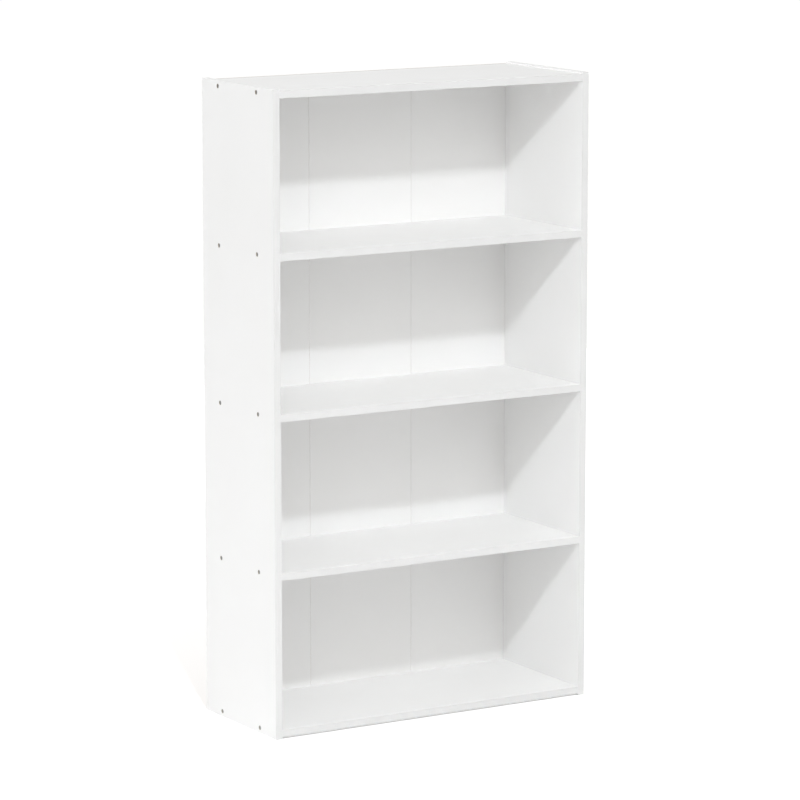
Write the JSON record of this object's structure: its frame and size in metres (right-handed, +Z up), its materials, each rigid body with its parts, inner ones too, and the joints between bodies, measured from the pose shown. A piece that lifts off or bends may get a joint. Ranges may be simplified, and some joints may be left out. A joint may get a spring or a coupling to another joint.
{
  "type": "open bookcase",
  "caption": "Narrow open bookcase of thin white laminated boards: fixed shelves between two sides, with a folding nailed back.",
  "frame": {"origin": "on the floor, in the middle of the whole object's footprint", "axes": "+X across the front from left to right as seen from the front, +Y from the front to the back, +Z up"},
  "size_m": [0.6, 0.24, 1.06],
  "materials": {
    "white_laminate": "satin white melamine laminate on particleboard",
    "white_edge_band": "satin white edge banding",
    "back_board": "thin hardboard, white paper foil on its front face, bare brown on its rear face",
    "fold_tape": "matt white paper tape",
    "screw_zinc": "bright zinc plate",
    "nail_steel": "bright drawn steel"
  },
  "bodies": {
    "root": {"left_side_panel": "white_laminate", "left_side_front_band": "white_edge_band", "left_side_top_band": "white_edge_band", "right_side_panel": "white_laminate", "right_side_front_band": "white_edge_band", "right_side_top_band": "white_edge_band", "bottom_panel": "white_laminate", "bottom_panel_front_band": "white_edge_band", "shelf_lower": "white_laminate", "shelf_lower_front_band": "white_edge_band", "shelf_middle": "white_laminate", "shelf_middle_front_band": "white_edge_band", "shelf_upper": "white_laminate", "shelf_upper_front_band": "white_edge_band", "top_panel": "white_laminate", "top_panel_front_band": "white_edge_band", "back_leaf_left": "back_board", "back_leaf_centre": "back_board", "back_leaf_right": "back_board", "back_fold_tape_left": "fold_tape", "back_fold_tape_right": "fold_tape", "screw_bottom_panel_left_front": "screw_zinc", "screw_bottom_panel_left_rear": "screw_zinc", "screw_shelf_lower_left_front": "screw_zinc", "screw_shelf_lower_left_rear": "screw_zinc", "screw_shelf_middle_left_front": "screw_zinc", "screw_shelf_middle_left_rear": "screw_zinc", "screw_shelf_upper_left_front": "screw_zinc", "screw_shelf_upper_left_rear": "screw_zinc", "screw_top_panel_left_front": "screw_zinc", "screw_top_panel_left_rear": "screw_zinc", "screw_bottom_panel_right_front": "screw_zinc", "screw_bottom_panel_right_rear": "screw_zinc", "screw_shelf_lower_right_front": "screw_zinc", "screw_shelf_lower_right_rear": "screw_zinc", "screw_shelf_middle_right_front": "screw_zinc", "screw_shelf_middle_right_rear": "screw_zinc", "screw_shelf_upper_right_front": "screw_zinc", "screw_shelf_upper_right_rear": "screw_zinc", "screw_top_panel_right_front": "screw_zinc", "screw_top_panel_right_rear": "screw_zinc", "back_nail_bottom_panel_left": "nail_steel", "back_nail_bottom_panel_centre": "nail_steel", "back_nail_bottom_panel_right": "nail_steel", "back_nail_shelf_lower_left": "nail_steel", "back_nail_shelf_lower_centre": "nail_steel", "back_nail_shelf_lower_right": "nail_steel", "back_nail_shelf_middle_left": "nail_steel", "back_nail_shelf_middle_centre": "nail_steel", "back_nail_shelf_middle_right": "nail_steel", "back_nail_shelf_upper_left": "nail_steel", "back_nail_shelf_upper_centre": "nail_steel", "back_nail_shelf_upper_right": "nail_steel", "back_nail_top_panel_left": "nail_steel", "back_nail_top_panel_centre": "nail_steel", "back_nail_top_panel_right": "nail_steel", "back_nail_side_left_lower": "nail_steel", "back_nail_side_left_upper": "nail_steel", "back_nail_side_right_lower": "nail_steel", "back_nail_side_right_upper": "nail_steel"}
  },
  "joints": []
}
